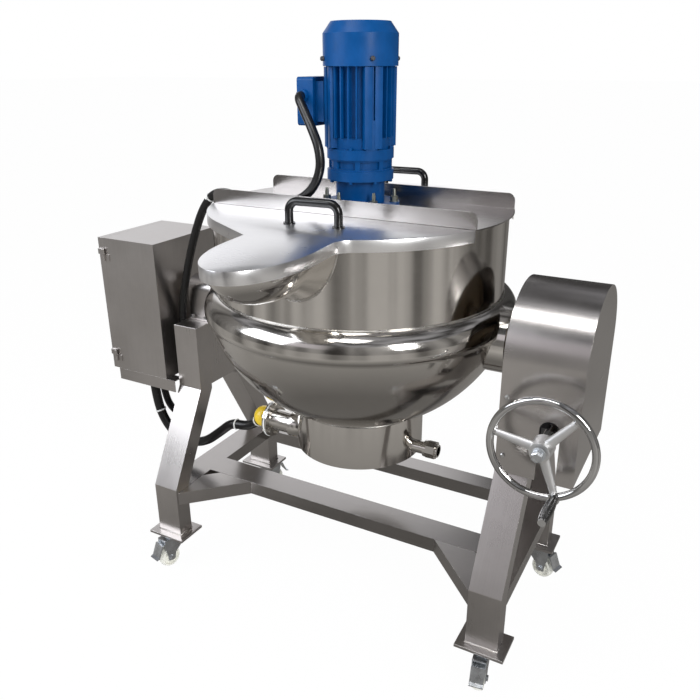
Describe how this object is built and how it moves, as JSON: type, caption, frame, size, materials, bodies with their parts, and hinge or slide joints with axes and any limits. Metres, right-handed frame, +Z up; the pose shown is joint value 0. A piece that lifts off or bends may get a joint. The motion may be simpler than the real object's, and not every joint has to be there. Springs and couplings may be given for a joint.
{
  "type": "steam jacketed kettle",
  "caption": "Tilting steam jacketed kettle with scraper agitator, worm gear handwheel and control box on a steel stand with braked casters.",
  "frame": {"origin": "on the floor below the axis of the kettle and its agitator", "axes": "+Z up; X along the tilting axis, control box at -X, worm drive at +X; -Y is the pouring side"},
  "size_m": [1.4688, 1.0484, 1.497],
  "materials": {
    "frame_steel": "satin",
    "polished_steel": "polished",
    "lid_steel": "satin",
    "blue_paint": "gloss",
    "zinc_plate": "satin",
    "white_nylon": "matte",
    "bronze": "satin",
    "cast_iron": "painted",
    "turned_steel": "turned",
    "chrome_rim": "polished",
    "black_plastic": "gloss",
    "yellow_plastic": "gloss",
    "white_plastic": "matte",
    "black_rubber": "satin",
    "green_plastic": "gloss",
    "red_plastic": "gloss"
  },
  "bodies": {
    "stand": {"left_legs": "frame_steel", "right_legs": "frame_steel", "left_head": "frame_steel", "right_head": "frame_steel", "base_rails": "frame_steel", "corner_braces": "frame_steel", "foot_plates": "frame_steel", "caster_plates": "zinc_plate", "left_bearing_housing": "frame_steel", "right_bearing_housing": "frame_steel", "bearing_bushes": "bronze", "worm_bracket": "cast_iron", "gear_cover": "frame_steel", "cover_tabs": "frame_steel", "control_box": "frame_steel", "box_shelf": "frame_steel"},
    "kettle": {"inner_pot": "polished_steel", "outer_jacket": "polished_steel", "pouring_spout": "polished_steel", "left_trunnion": "polished_steel", "right_trunnion": "polished_steel", "worm_wheel": "bronze", "heater_housing": "polished_steel", "heater_nozzle": "polished_steel", "nozzle_cap": "yellow_plastic", "drain_union": "polished_steel", "bridge": "lid_steel", "gear_reducer": "blue_paint", "drive_motor": "blue_paint", "fan_cowl": "blue_paint", "terminal_box": "blue_paint", "motor_conduit": "black_rubber", "bridge_conduit": "black_rubber", "heater_conduit": "black_rubber"},
    "agitator": {"agitator_frame": "polished_steel", "scrapers": "white_plastic"},
    "front_cover": {"front_lid": "lid_steel", "front_handle": "black_plastic"},
    "rear_cover": {"rear_lid": "lid_steel", "rear_handle": "black_plastic"},
    "worm": {"worm_shaft": "turned_steel", "handwheel": "chrome_rim"},
    "crank": {"crank_grip": "black_plastic"},
    "door": {"control_door": "frame_steel"},
    "lock": {"door_lock": "turned_steel"},
    "emergency": {"emergency_button": "red_plastic"},
    "start": {"start_button": "green_plastic"},
    "stop": {"stop_button": "black_plastic"},
    "front_left_swivel": {"front_left_fork": "zinc_plate"},
    "front_left_roller": {"front_left_wheel": "white_nylon"},
    "front_left_brake": {"front_left_pedal": "zinc_plate"},
    "front_right_swivel": {"front_right_fork": "zinc_plate"},
    "front_right_roller": {"front_right_wheel": "white_nylon"},
    "front_right_brake": {"front_right_pedal": "zinc_plate"},
    "rear_right_swivel": {"rear_right_fork": "zinc_plate"},
    "rear_right_roller": {"rear_right_wheel": "white_nylon"},
    "rear_right_brake": {"rear_right_pedal": "zinc_plate"},
    "rear_left_swivel": {"rear_left_fork": "zinc_plate"},
    "rear_left_roller": {"rear_left_wheel": "white_nylon"},
    "rear_left_brake": {"rear_left_pedal": "zinc_plate"}
  },
  "joints": [
    {"name": "tilt", "type": "hinge", "parent": "stand", "child": "kettle", "pos_m": [0, 0, 0.8], "axis": [1, 0, 0], "range_deg": [0, 90], "deforming": ["bridge_conduit", "heater_conduit"]},
    {"name": "worm_turn", "type": "hinge", "parent": "stand", "child": "worm", "pos_m": [0.548, 0, 0.656], "axis": [0, 1, 0], "range_deg": [-3620, 20]},
    {"name": "crank_spin", "type": "hinge", "parent": "worm", "child": "crank", "pos_m": [0.58613, -0.225, 0.55122], "axis": [0, 1, 0], "continuous": true},
    {"name": "agitator_turn", "type": "hinge", "parent": "kettle", "child": "agitator", "pos_m": [0, 0, 0.8], "axis": [0, 0, 1], "continuous": true},
    {"name": "front_lid_lift", "type": "slide", "parent": "kettle", "child": "front_cover", "axis": [0, 0, 1], "range_m": [0, 0.15]},
    {"name": "rear_lid_lift", "type": "slide", "parent": "kettle", "child": "rear_cover", "axis": [0, 0, 1], "range_m": [0, 0.15]},
    {"name": "door_swing", "type": "hinge", "parent": "stand", "child": "door", "pos_m": [-0.7605, -0.1385, 0.747], "axis": [0, 0, 1], "range_deg": [0, 110]},
    {"name": "lock_turn", "type": "hinge", "parent": "door", "child": "lock", "pos_m": [-0.7808, 0.105, 0.747], "axis": [1, 0, 0], "range_deg": [0, 90]},
    {"name": "emergency_press", "type": "slide", "parent": "door", "child": "emergency", "axis": [1, 0, 0], "range_m": [0, 0.004], "stiffness_N_per_m": 400},
    {"name": "start_press", "type": "slide", "parent": "door", "child": "start", "axis": [1, 0, 0], "range_m": [0, 0.002], "stiffness_N_per_m": 400},
    {"name": "stop_press", "type": "slide", "parent": "door", "child": "stop", "axis": [1, 0, 0], "range_m": [0, 0.002], "stiffness_N_per_m": 400},
    {"name": "front_left_swivel_turn", "type": "hinge", "parent": "stand", "child": "front_left_swivel", "pos_m": [-0.5025, -0.231, 0.09], "axis": [0, 0, 1], "continuous": true},
    {"name": "front_left_wheel_roll", "type": "hinge", "parent": "front_left_swivel", "child": "front_left_roller", "pos_m": [-0.51072, -0.26399, 0.032], "axis": [-0.9703, 0.2419, 0], "continuous": true},
    {"name": "front_left_brake_press", "type": "hinge", "parent": "front_left_swivel", "child": "front_left_brake", "pos_m": [-0.51387, -0.2766, 0.08], "axis": [-0.9703, 0.2419, 0], "range_deg": [0, 25]},
    {"name": "front_right_swivel_turn", "type": "hinge", "parent": "stand", "child": "front_right_swivel", "pos_m": [0.462, -0.231, 0.09], "axis": [0, 0, 1], "continuous": true},
    {"name": "front_right_wheel_roll", "type": "hinge", "parent": "front_right_swivel", "child": "front_right_roller", "pos_m": [0.46673, -0.26467, 0.032], "axis": [-0.9903, -0.1392, 0], "continuous": true},
    {"name": "front_right_brake_press", "type": "hinge", "parent": "front_right_swivel", "child": "front_right_brake", "pos_m": [0.46854, -0.27754, 0.08], "axis": [-0.9903, -0.1392, 0], "range_deg": [0, 25]},
    {"name": "rear_right_swivel_turn", "type": "hinge", "parent": "stand", "child": "rear_right_swivel", "pos_m": [0.462, 0.231, 0.09], "axis": [0, 0, 1], "continuous": true},
    {"name": "rear_right_wheel_roll", "type": "hinge", "parent": "rear_right_swivel", "child": "rear_right_roller", "pos_m": [0.49434, 0.22049, 0.032], "axis": [-0.309, -0.9511, 0], "continuous": true},
    {"name": "rear_right_brake_press", "type": "hinge", "parent": "rear_right_swivel", "child": "rear_right_brake", "pos_m": [0.5067, 0.21648, 0.08], "axis": [-0.309, -0.9511, 0], "range_deg": [0, 25]},
    {"name": "rear_left_swivel_turn", "type": "hinge", "parent": "stand", "child": "rear_left_swivel", "pos_m": [-0.5025, 0.231, 0.09], "axis": [0, 0, 1], "continuous": true},
    {"name": "rear_left_wheel_roll", "type": "hinge", "parent": "rear_left_swivel", "child": "rear_left_roller", "pos_m": [-0.48654, 0.26102, 0.032], "axis": [0.8829, -0.4695, 0], "continuous": true},
    {"name": "rear_left_brake_press", "type": "hinge", "parent": "rear_left_swivel", "child": "rear_left_brake", "pos_m": [-0.48044, 0.2725, 0.08], "axis": [0.8829, -0.4695, 0], "range_deg": [0, 25]}
  ],
  "couplings": [
    {"joint": "worm_turn", "follows": "tilt", "ratio": -40}
  ]
}
